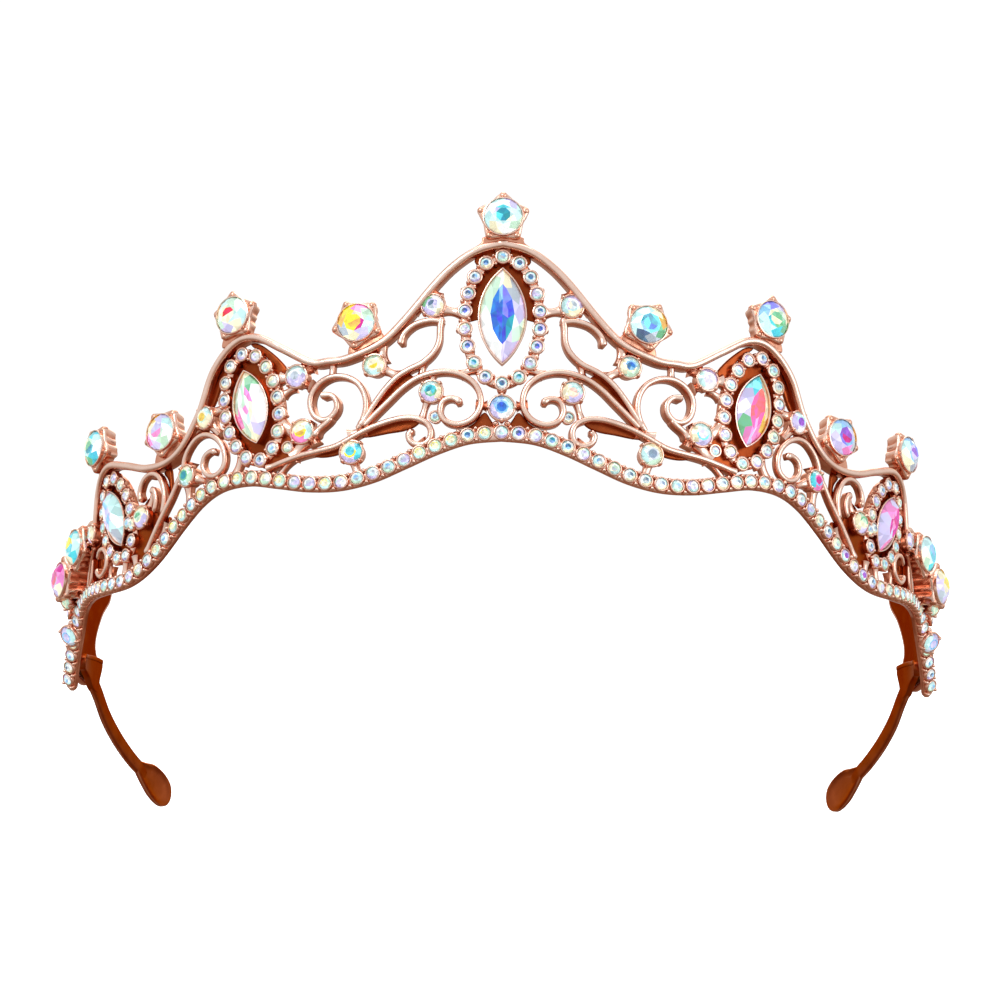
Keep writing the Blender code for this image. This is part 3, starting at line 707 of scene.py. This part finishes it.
def metal_material(name, painted_lights, roughness, edge):
    """Polished plating: colour follows the painted light, from shade in the recesses to highlight on the
    crests, with soft casting ripple and wear.
    """
    made, tree, shader = make_material(name, {"Metallic": 1.0, "Specular Tint": edge + (1.0,)})
    deep, mid, pale = (srgb(*painted_light) for painted_light in painted_lights)
    painted_light = add_node(tree, "Attribute", attribute_name="painted_light")
    place = add_node(tree, "TexCoord")
    cloud = add_noise(tree, place, CLOUD_SCALE, 3.0)
    spread = add_node(tree, "Math", {1: 0.5, 2: -0.25}, operation="MULTIPLY_ADD")
    join(tree, cloud, "Fac", spread, 0)
    total = add_node(tree, "Math", operation="ADD", use_clamp=True)
    join(tree, painted_light, "Fac", total, 0)
    join(tree, spread, 0, total, 1)
    ramp = add_ramp(tree, (0.0, deep), (1.0, pale), (MID_TONE, mid))
    join(tree, total, 0, ramp, "Fac")
    join(tree, ramp, "Color", shader, "Base Color")
    rough = add_node(tree, "MapRange", {"To Min": roughness[0], "To Max": roughness[1]})
    join(tree, cloud, "Fac", rough, "Value")
    join(tree, rough, "Result", shader, "Roughness")
    ripple = add_noise(tree, place, RIPPLE_SCALE, 2.0)
    bump = add_node(tree, "Bump", {"Strength": 0.12, "Distance": 0.0003})
    join(tree, ripple, "Fac", bump, "Height")
    join(tree, bump, "Normal", shader, "Normal")
    return made


def crystal_material(name):
    """Foil-backed cut crystal with a rainbow coating: each facet has its own tint, the coating's hue with
    painted reflection and shade, slightly clouded.
    """
    made, tree, shader = make_material(name, {
        "Roughness": 0.06, "Metallic": 0.12, "IOR": 1.62, "Coat Weight": 0.6, "Coat Roughness": 0.03,
    })
    facet = add_node(tree, "Attribute", attribute_name="tint")
    cloud = add_noise(tree, add_node(tree, "TexCoord"), RIPPLE_SCALE, 1.0)
    shift = add_node(tree, "MapRange", {"From Min": 0.3, "From Max": 0.7, "To Min": 0.48, "To Max": 0.52})
    join(tree, cloud, "Fac", shift, "Value")
    glow = add_node(tree, "HueSaturation", {"Saturation": 1.02})
    join(tree, shift, "Result", glow, "Hue")
    join(tree, facet, "Color", glow, "Color")
    join(tree, glow, "Color", shader, "Base Color")
    return made


ROSE_GOLD = metal_material("rose_gold_plating", *PLATING)
PAINTED_SHADE_GOLD = metal_material("shaded_rose_gold", *PAINTED_SHADE_PLATING)
CRYSTAL = crystal_material("rainbow_crystal")


def piece(name, shape, finish, nodes=(), body="crown", left=False, flat=False):
    """Bend the gathered faces round the head as one object that stands for the CAD nodes."""
    places = np.array(shape.places, float)
    if left:
        places[:, 0] *= -1
    mesh = bpy.data.meshes.new(name)
    mesh.from_pydata(bend(places).tolist(), [], shape.faces)
    painted_light = mesh.attributes.new("painted_light", "FLOAT", "POINT")
    painted_light.data.foreach_set("value", shape.painted_lights)
    if shape.tints:
        colour = mesh.attributes.new("tint", "FLOAT_COLOR", "CORNER")
        corners = [colour_of_face for face, colour_of_face in zip(shape.faces, shape.tints) for _ in face]
        colour.data.foreach_set("color", np.array(corners, np.float32).ravel())
    cleaned = bmesh.new()
    cleaned.from_mesh(mesh)
    bmesh.ops.recalc_face_normals(cleaned, faces=cleaned.faces)
    cleaned.to_mesh(mesh)
    cleaned.free()
    if not flat:
        mesh.shade_smooth()
        mesh.set_sharp_from_angle(angle=SHARP_ANGLE)
    mesh.materials.append(finish)
    # Faces in painted shade take the darker copy of the plating.
    if shape.shaded:
        mesh.materials.append(PAINTED_SHADE_GOLD)
        for i in shape.shaded:
            mesh.polygons[i].material_index = 1
    made = bpy.data.objects.new(name, mesh)
    bpy.context.scene.collection.objects.link(made)
    if body:
        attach(made, body)
    if nodes:
        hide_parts(*nodes)
    return made


def gold_piece(name, shape, node, left=False):
    piece(name, shape, ROSE_GOLD, [node], left=left)


def stone_piece(name, gems, nodes=(), left=False):
    piece(name, gems, CRYSTAL, nodes, left=left, flat=True)


def star_outline():
    """Five-pointed collar: blunt tips and gently hollow sides."""
    side = pi / PRONGS
    angle = np.linspace(0, 2 * pi, STAR_CORNERS, endpoint=False)
    swing = np.mod(angle - pi / 2 + side, 2 * pi / PRONGS) - side
    share = np.abs(swing) / side
    reach = np.minimum(3.22 + 1.08 * (1 - share) ** 1.7, 4.12)
    return np.stack([np.cos(angle), np.sin(angle)], axis=1) * reach[:, None]


def face_front(shape, u, lift, yaw):
    """Turn a shape towards the front about its own middle, with its root kept inside the side plate."""
    turn = radians(yaw)
    for i, (x, y, z) in enumerate(shape.places):
        across, out = x - u, z - lift
        height = lift + out * cos(turn) + across * sin(turn)
        if lift > 1:
            height = max(height, PLATE_CORE)
        shape.places[i] = (u + across * cos(turn) - out * sin(turn), y, height)


def make_basket(name, left, owner):
    """Deep five-prong basket with fluted sides, and its large stone."""
    u, v, lift, turn, yaw = BASKETS[name]
    shape = Shape()
    star = star_outline()
    angle = np.linspace(0, 2 * pi, len(star), endpoint=False)
    flute = np.cos(angle * FLUTES)
    root = -1.35 if lift < 1 else -lift - 0.6
    foot = [(0.72, root, 0.2, 0.0), (0.82, root + 0.05, 0.35, 0.03), (0.86, root * 0.7, 0.5, 0.05)]
    rings, painted_lights = [], []
    for scale, height, painted_light, ripple in foot + BASKET_WALL:
        flat = turn_flat(star * (scale + ripple * flute)[:, None], turn)
        rings.append(ring_at(flat, (u, v), lift + height))
        # Painted light: the flutes' ridges are lighter and their grooves darker.
        painted_lights.append(painted_light + 0.3 * flute * (ripple > 0))
    for radius, height, painted_light in BASKET_LIP:
        flat = turn_flat(star / np.linalg.norm(star, axis=1)[:, None] * radius, turn)
        rings.append(ring_at(flat, (u, v), lift + height))
        painted_lights.append(np.full(len(star), painted_light))
    shape.loft(rings, np.clip(painted_lights, 0, 1))
    for i in range(PRONGS):
        swing = radians(90 - turn + 360 / PRONGS * i)
        tip = (u + PRONG_REACH * cos(swing), v + PRONG_REACH * sin(swing))
        bead(shape, tip, lift + 1.05, 0.62, 0.5, 0.6)
    face_front(shape, u, lift, yaw)
    if name in FEET:
        filled(shape, FEET[name], 0.5, 0.75, -1.1, 0.35, 0.2, pitch=1.0)
    gold_piece(f"{owner}_basket_detail", shape, f"{owner}_basket", left)
    gem = Shape()
    cut_stone(gem, (u, v), lift + STONE_SEAT, round_outline(32) * LARGE_STONE, LARGE_STONES[owner],
              random.Random(owner), height=0.95, heart_share=0.68)
    face_front(gem, u, lift, yaw)
    stone_piece(f"{owner}_crystal", gem, [f"{owner}_stone"], left)


def halo_places(count, half_u, half_v, tilt, centre):
    """Even places round an ellipse, from its top."""
    fine = np.linspace(0, 2 * pi, 721)
    ring = np.stack([half_u * np.sin(fine), half_v * np.cos(fine)], axis=1)
    even = points_at(ring, np.arange(count) / count * running_length(ring)[-1])
    return turn_flat(even, tilt) + np.array(centre)


# Heart, table and crown colours that the small stones are drawn from
SMALL_MOODS = [
    "mist grey ice/ice white mist/ice white lilac", "grey sky mist/white ice/white ice cream",
    "lilac mist/mist/ice cream white lilac", "cream mist/cream white mint/cream white mint",
    "sky grey/ice/white ice mint", "ice sky/mist/lilac white ice", "mint grey/white cream/mint cream ice",
    "grey lilac/white lilac/white lilac ice", "slate grey mist/mist ice/ice white cream",
    "sky slate grey/ice mist/mist white lilac",
]
BLUE_MOODS = ["steel slate grey/lilac mist/ice white lilac", "steel steel sky/ice mist/white ice cream",
              "slate steel/lilac ice/ice mist", "teal sky/ice mist/white ice mint",
              "blue slate periwinkle/lilac mist/lilac ice white"]


def round_stone(gems, place, lift, radius, mood, dice, corners, table, heart_share, dim):
    """Low round stone, coloured by a mood of three rows."""
    cut_stone(gems, place, lift, round_outline(corners) * radius, mood, dice, table=(table, table),
              height=radius * 0.36, heart_share=heart_share, dim=dim)


def small_stone(gems, place, lift, radius, mood, dice):
    round_stone(gems, place, lift, radius, mood, dice, 24, 0.62, 0.8, 0.55)


def make_marquise(name, left, full):
    """Pointed stone in a thin bezel, inside a ring of small claw-set stones."""
    u, v, tilt, (width, length), (half_u, half_v), count, halo_v = MARQUISES[name]
    main = name == "centre_marquise"
    middle = np.array([u, halo_v])
    metal, gems = Shape(), Shape()
    dice = random.Random(full)
    outline = navette_outline(BEZEL_CORNERS, width / 2, length / 2)
    bezel = turn_flat(outline, tilt)
    reach = np.linalg.norm(bezel, axis=1)[:, None]
    turned(metal, (u, v), 0.0, [(1 + grow / reach, height, painted_light) for grow, height, painted_light in BEZEL], bezel)
    wire(metal, halo_places(64, half_u, half_v, tilt, middle), 1.5, 1.3, lift=-0.35, closed=True)
    add_shade_floor(metal, halo_places(BEZEL_CORNERS, half_u - 0.6, half_v - 0.6, tilt, middle),
               bezel * 0.9 + np.array([u, v]), tilt, main)
    places = halo_places(count, half_u, half_v, tilt, middle)
    for i, place in enumerate(places):
        cup(metal, place, 0.25, HALO_CUP, HALO_STONE, -0.9, sides=14)
        outward = place - middle
        outward = outward / np.linalg.norm(outward)
        between = (place + places[(i + 1) % count]) / 2
        for reach in (0.72, -0.66):
            bead(metal, between + outward * reach, 0.45, 0.3, 0.5)
        if i % 2:
            bead(metal, place + outward * 1.12, 0.3, 0.3, 0.5)
        moods = BLUE_MOODS if main and dice.random() < 0.75 else SMALL_MOODS
        small_stone(gems, place, 0.62, HALO_STONE, dice.choice(moods), dice)
    gold_piece(f"{full}_halo_setting", metal, f"{full}_setting", left)
    stone_piece(f"{full}_halo_stones", gems, left=left)
    gem = Shape()
    table, height = ((0.52, 0.64), 1.25) if main else ((0.44, 0.58), 1.6)
    cut_stone(gem, (u, v), 0.55, outline, MARQUISE_STONES[full], dice, tilt=tilt, table=table,
              height=height)
    stone_piece(f"{full}_crystal", gem, [f"{full}_stone"], left)


def add_shade_floor(metal, outer, inner, tilt, upper_half):
    """Floor of painted shade between the halo and the bezel, all the way round or in the upper half alone.
    """
    first = len(metal.faces)
    top = np.argmax(inner @ np.array([sin(radians(tilt)), cos(radians(tilt))]))
    inner = np.roll(np.roll(inner, -top, axis=0)[::-1], 1, axis=0)
    rows = [ring_at(outer * (1 - share) + inner * share, (0, 0), height) for share, height in SHADE_FLOOR]
    sections = np.array(rows).transpose(1, 0, 2)
    if upper_half:
        metal.loft(np.roll(sections, 12, axis=0)[:25], 0.0)
    else:
        metal.loft(sections, 0.0, closed=True)
    metal.shaded.update(range(first, len(metal.faces)))


def row_places(start):
    """Places at an even pitch along the rail's line, with the direction there."""
    line = smooth_line(RAIL_LINE, 0.2)
    run = running_length(line)
    wanted = np.arange(start, run[-1] - 0.4, ROW_PITCH)
    return points_at(line, wanted), headings(line)[np.searchsorted(run, wanted)]


def twist_rail(shape):
    """Turn the last run of the rail about its own line, so that its stones look forwards and down."""
    line = smooth_line(RAIL_LINE, 0.3)
    places = np.array(shape.places)
    near = np.argmin(np.linalg.norm(places[:, None, :2] - line[None], axis=2), axis=1)
    across = -left_of(headings(line)[near])
    offset = np.sum((places[:, :2] - line[near]) * across, axis=1)
    turn = RAIL_TWIST * ease(places[:, 0], 88, 101)
    flat = offset * np.cos(turn) + places[:, 2] * np.sin(turn)
    places[:, 2] = places[:, 2] * np.cos(turn) - offset * np.sin(turn)
    places[:, :2] += across * (flat - offset)[:, None]
    shape.places = list(map(tuple, places))


def make_rail(side):
    """Bottom rail with its claw-set row of small stones."""
    left = side == "left"
    metal, gems = Shape(), Shape()
    dice = random.Random(f"rail {side}")
    wire(metal, RAIL_LINE, RAIL_WIDTH, RAIL_DEPTH, lift=-0.05)
    for place, ahead in zip(*row_places(ROW_START + (ROW_PITCH if left else 0.0))):
        across = np.array([-ahead[1], ahead[0]])
        cup(metal, place, 0.62, ROW_CUP, ROW_STONE, -1.1, sides=16)
        for reach in (0.92, -0.92):
            bead(metal, place + ahead * ROW_PITCH / 2 + across * reach, 0.72, 0.36, 0.55, 0.95)
        mood = dice.choice(BLUE_MOODS if place[0] < 14 and dice.random() < 0.5 else SMALL_MOODS)
        if not left and 55 < place[0] < 66 and dice.random() < 0.5:
            mood = "violet/lilac pink/lilac ice"
        if left and place[0] < 60 and dice.random() < 0.35:
            mood = "cream/yellow cream/cream mint ice"
        small_stone(gems, place, 0.98, ROW_STONE, mood, dice)
    add_round_setting(metal, gems, (100.2, -22.1), 0.7, 1.75, "lilac/sky/lilac ice grey", dice)
    add_round_setting(metal, gems, (95.9, -16.7), 1.1, 1.2, "mint/cream/ice mint", dice)
    twist_rail(metal)
    twist_rail(gems)
    gold_piece(f"base_rail_{side}_detail", metal, f"base_rail_{side}", left)
    stone_piece(f"base_rail_{side}_stones", gems, left=left)


def add_round_setting(metal, gems, place, lift, radius, mood, dice, turn=0.0):
    """Collet with four claws and its stone, rooted on the filigree's back or in the side plate."""
    back = (CUP_ROOT if place[0] < PLATE_START else PLATE_BACK - 0.1) - lift
    cup(metal, place, lift + 0.45, radius + 0.34, radius, back, sides=22)
    for i in range(4):
        swing = radians(45 + turn + 90 * i)
        claw = (place[0] + (radius + 0.2) * cos(swing), place[1] + (radius + 0.2) * sin(swing))
        bead(metal, claw, lift + 0.7, 0.36, 0.7, 0.9)
    round_stone(gems, place, lift + 0.85, radius, mood, dice, 32, 0.6, 0.7, 0.68)


def leaf(shape, outline):
    """Low plate of metal, all in the painted-shade plating, that closes a gap between wires."""
    first = len(shape.faces)
    filled(shape, outline, 0.6, -0.15, -0.85, 0.2, 0.3, pitch=1.5)
    shape.shaded.update(range(first, len(shape.faces)))


def make_filigree(side):
    """Scroll wires, webs and the round stones set among them, then the side plate and the top wire."""
    left = side == "left"
    dice = random.Random(f"filigree {side}")
    shapes = {name: (Shape(), Shape()) for name in [*SCROLLS, "end_plate"]}
    for name, lines in SCROLLS.items():
        metal = shapes[name][0]
        depth = FLANK_DEPTH if name in ("side_spiral", "outer_stem") else SCROLL_DEPTH
        for points in lines:
            wire(metal, points, SCROLL_WIDTH, depth, lift=(SCROLL_DEPTH - depth) / 2, knob=0.25)
        for start, end, width in WEBS[name]:
            tie(metal, start, end, width)
    for owner, outline in LEAVES:
        leaf(shapes[owner][0], outline)
    for u, v, lift, radius, right_mood, left_mood, owner in MEDIUM_STONES:
        metal, gems = shapes[owner]
        add_round_setting(metal, gems, (u, v), lift, radius, left_mood if left else right_mood, dice)
    for u, v, lift, radius, owner in SMALL_STONES:
        metal, gems = shapes[owner]
        root = SMALL_CUP_ROOT if u < PLATE_START else PLATE_BACK
        cup(metal, (u, v), lift + 0.3, radius + 0.26, radius, root - lift)
        small_stone(gems, (u, v), lift + 0.66, radius, dice.choice(SMALL_MOODS), dice)
    add_plate(shapes["end_plate"][0])
    for name, (metal, gems) in shapes.items():
        gold_piece(f"{name}_{side}_detail", metal, f"{name}_{side}", left)
        if gems.faces:
            stone_piece(f"{name}_{side}_stones", gems, left=left)
    top = Shape()
    wire(top, TOP_LINE, TOP_WIDTH, TOP_DEPTH)
    gold_piece(f"top_wire_{side}_detail", top, f"top_wire_{side}", left)


def filled(shape, outline, step, front, back, painted_light_front, painted_light_back, pitch=2.0):
    """Sheet with a smooth outline and an eased edge, cut across so that it can bend. Its front and back get
    their own painted light, and its back faces take the painted-shade plating.
    """
    outline = smooth_line(outline, step, closed=True)
    curve = bpy.data.curves.new("sheet", "CURVE")
    curve.dimensions = "2D"
    curve.fill_mode = "BOTH"
    curve.extrude = (front - back) / 2 - EDGE_ROUND
    curve.bevel_depth = EDGE_ROUND
    curve.bevel_resolution = 2
    curve.offset = -EDGE_ROUND
    spline = curve.splines.new("POLY")
    spline.points.add(len(outline) - 1)
    for knot, point in zip(spline.points, outline):
        knot.co = (point[0], point[1], 0.0, 1.0)
    spline.use_cyclic_u = True
    guide = bpy.data.objects.new("sheet", curve)
    bpy.context.scene.collection.objects.link(guide)
    bpy.context.view_layer.update()
    mesh = bpy.data.meshes.new_from_object(guide.evaluated_get(bpy.context.evaluated_depsgraph_get()))
    bpy.data.objects.remove(guide)
    body = bmesh.new()
    body.from_mesh(mesh)
    bmesh.ops.remove_doubles(body, verts=body.verts, dist=0.001)
    reach = [vert.co.x for vert in body.verts]
    low = min(reach)
    for i in range(1, ceil((max(reach) - low) / pitch)):
        bmesh.ops.bisect_plane(body, geom=body.verts[:] + body.edges[:] + body.faces[:],
                               plane_co=(low + i * pitch, 0, 0), plane_no=(1, 0, 0), dist=0.001)
    middle = (front + back) / 2
    body.verts.index_update()
    places = [(vert.co.x, vert.co.y, vert.co.z + middle) for vert in body.verts]
    painted_lights = [painted_light_front if vert.co.z > 0 else painted_light_back for vert in body.verts]
    faces = [[vert.index for vert in face.verts] for face in body.faces]
    hidden = [i for i, face in enumerate(body.faces) if max(vert.co.z for vert in face.verts) < 0]
    shape.add(places, faces, painted_lights, shaded=hidden)
    body.free()


def add_plate(shape):
    """Side plate with a raised border wire and scrolls in relief."""
    filled(shape, PLATE_OUTLINE, 1.0, PLATE_TOP, PLATE_BACK, 0.3, 0.0)
    wire(shape, PLATE_OUTLINE, 0.9, 1.5, lift=0.2, closed=True)
    for points in PLATE_SCROLLS:
        wire(shape, points, SCROLL_WIDTH, 1.4, lift=0.5, knob=0.3)


def band(shape, points, widths, depth, lift):
    """Flat sprung strip with rounded edges, an even taper in width and a thin end."""
    line = smooth_line(points, 0.5)
    across = left_of(headings(line))
    swing = np.linspace(0, 2 * pi, 20, endpoint=False)
    flat = np.sign(np.cos(swing)) * np.abs(np.cos(swing)) ** 0.45
    rise = np.sign(np.sin(swing)) * np.abs(np.sin(swing)) ** 0.7
    width = np.linspace(widths[0], widths[1], len(line))
    rings = np.zeros((len(line), 20, 3))
    rings[:, :, :2] = line[:, None] + across[:, None] * (flat[None] * width[:, None] / 2)[:, :, None]
    thin = 1 - 0.95 * ease(np.arange(len(line)), 0.86 * len(line), len(line))
    rings[:, :, 2] = lift + rise * depth / 2 * thin[:, None]
    # Painted light: the broad faces stay dark, with a painted highlight along the narrow edges.
    shape.loft(rings, 0.15 + 0.5 * np.abs(flat) ** 8 * (1 - np.abs(rise)))


def pad_outline():
    """Spoon outline in line with the arm's end, fuller along its upper side."""
    ring = smooth_line(PAD_EDGE, 0.8, closed=True)
    heading = atan2(ARM_LINE[-1][1] - ARM_LINE[-2][1], ARM_LINE[-1][0] - ARM_LINE[-2][0])
    return turn_flat(ring, -np.degrees(heading))


def make_arm(side):
    """Tab on the crown and the sprung arm with its dished ear pad."""
    left = side == "left"
    front, back = ARM_INSET + ARM_DEPTH / 2, ARM_INSET - ARM_DEPTH / 2
    tab = Shape()
    filled(tab, TAB_OUTLINE, 0.8, front, back, 0.4, 0.12)
    wire(tab, TAB_LEDGE, 0.9, 1.5, lift=ARM_INSET)
    # Painted shade: the tab and the arm are all in the darker copy of the plating.
    piece(f"arm_tab_{side}_detail", tab, PAINTED_SHADE_GOLD, [f"arm_tab_{side}"], left=left)
    arm = Shape()
    widths = (ARM_WIDTH * 1.08, ARM_WIDTH * 0.76)
    band(arm, [BAND_START, *ARM_LINE, BAND_END], widths, ARM_DEPTH, ARM_INSET)
    turned(arm, PAD_CENTRE, ARM_INSET, PAD_DISH, pad_outline())
    made = piece(f"arm_{side}_detail", arm, PAINTED_SHADE_GOLD, [f"arm_{side}"], body=None,
                 left=left)
    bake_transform(made)


def make_drop():
    """Round stone under the centre marquise, with short ties to the halo above and the rail below."""
    metal, gems = Shape(), Shape()
    dice = random.Random("drop")
    add_round_setting(metal, gems, (0.0, 4.35), 0.1, 1.82, "blue/sky/ice sky lilac white", dice, turn=45)
    for u in (-0.9, 0.9):
        wire(metal, [(u, 2.4), (u, 1.9), (u, 1.4)], 1.1, 2.0, lift=0.1, step=0.3)
    wire(metal, [(0, 8.0), (0, 7.3), (0, 6.6)], 1.6, 1.8, lift=-0.2, step=0.3)
    gold_piece("lower_centre_detail", metal, "lower_centre_setting")
    stone_piece("lower_centre_crystal", gems, ["lower_centre_stone"])


def make_stage():
    """Plain pale floor, white surroundings and four soft lights."""
    scene = bpy.context.scene
    scene.view_settings.view_transform = "Standard"
    mesh = bpy.data.meshes.new("floor")
    corners = [(x * FLOOR_REACH, y * FLOOR_REACH, 0) for x, y in ((-1, -1), (1, -1), (1, 1), (-1, 1))]
    mesh.from_pydata(corners, [], [(0, 1, 2, 3)])
    floor = bpy.data.objects.new("floor", mesh)
    scene.collection.objects.link(floor)
    made, _, _ = make_material("pale_floor", {
        "Base Color": (0.96, 0.96, 0.96, 1), "Roughness": 0.9, "Emission Color": (1, 1, 1, 1),
        "Emission Strength": 0.6,
    })
    mesh.materials.append(made)
    floor.visible_glossy = False
    make_world(scene)
    for name, place, size, power in LIGHTS:
        light = bpy.data.lights.new(name, "AREA")
        light.size = size
        light.energy = power
        holder = bpy.data.objects.new(name, light)
        scene.collection.objects.link(holder)
        holder.location = place
        holder.rotation_euler = (Vector(LIGHT_TARGET) - Vector(place)).to_track_quat("-Z", "Y").to_euler()


def make_world(scene):
    """White to the camera. To the metal it is white above and a warm brown below, as a table would be."""
    world = bpy.data.worlds.new("studio")
    world.use_nodes = True
    scene.world = world
    tree = world.node_tree
    seen = tree.nodes["Background"]
    set_inputs(seen, {"Color": (1, 1, 1, 1), "Strength": 1.05})
    lit = add_node(tree, "Background", {"Strength": 0.78})
    place = add_node(tree, "TexCoord")
    split = add_node(tree, "SeparateXYZ")
    join(tree, place, "Generated", split, "Vector")
    ramp = add_ramp(tree, (0.22, (0.40, 0.27, 0.20)), (0.52, (1.0, 1.0, 1.0)))
    height = add_node(tree, "MapRange", {"From Min": -1.0})
    join(tree, split, "Z", height, "Value")
    join(tree, height, "Result", ramp, "Fac")
    join(tree, ramp, "Color", lit, "Color")
    path = add_node(tree, "LightPath")
    mix = add_node(tree, "MixShader")
    join(tree, path, "Is Camera Ray", mix, 0)
    join(tree, lit, 0, mix, 1)
    join(tree, seen, 0, mix, 2)
    join(tree, mix, 0, tree.nodes["World Output"], "Surface")


def make_camera():
    """Level view from 360 mm in front of the rail, rolled by a small angle."""
    data = bpy.data.cameras.new("camera")
    data.lens = CAMERA_LENS
    data.sensor_width = 36.0
    data.shift_x = CAMERA_SHIFT
    camera = bpy.data.objects.new("camera", data)
    bpy.context.scene.collection.objects.link(camera)
    camera.location = CAMERA_PLACE
    level = Matrix.Rotation(radians(90), 3, "X")
    camera.rotation_euler = (level @ Matrix.Rotation(CAMERA_ROLL, 3, "Z")).to_euler()
    bpy.context.scene.camera = camera


for side in SIDES:
    is_left = side == "left"
    make_rail(side)
    make_filigree(side)
    make_arm(side)
    for basket in list(BASKETS)[1:]:
        make_basket(basket, is_left, f"{basket}_{side}")
    for marquise in ("inner_marquise", "outer_marquise"):
        make_marquise(marquise, is_left, f"{marquise}_{side}")
make_basket("crest", False, "crest")
make_marquise("centre_marquise", False, "centre_marquise")
make_drop()
make_stage()
make_camera()
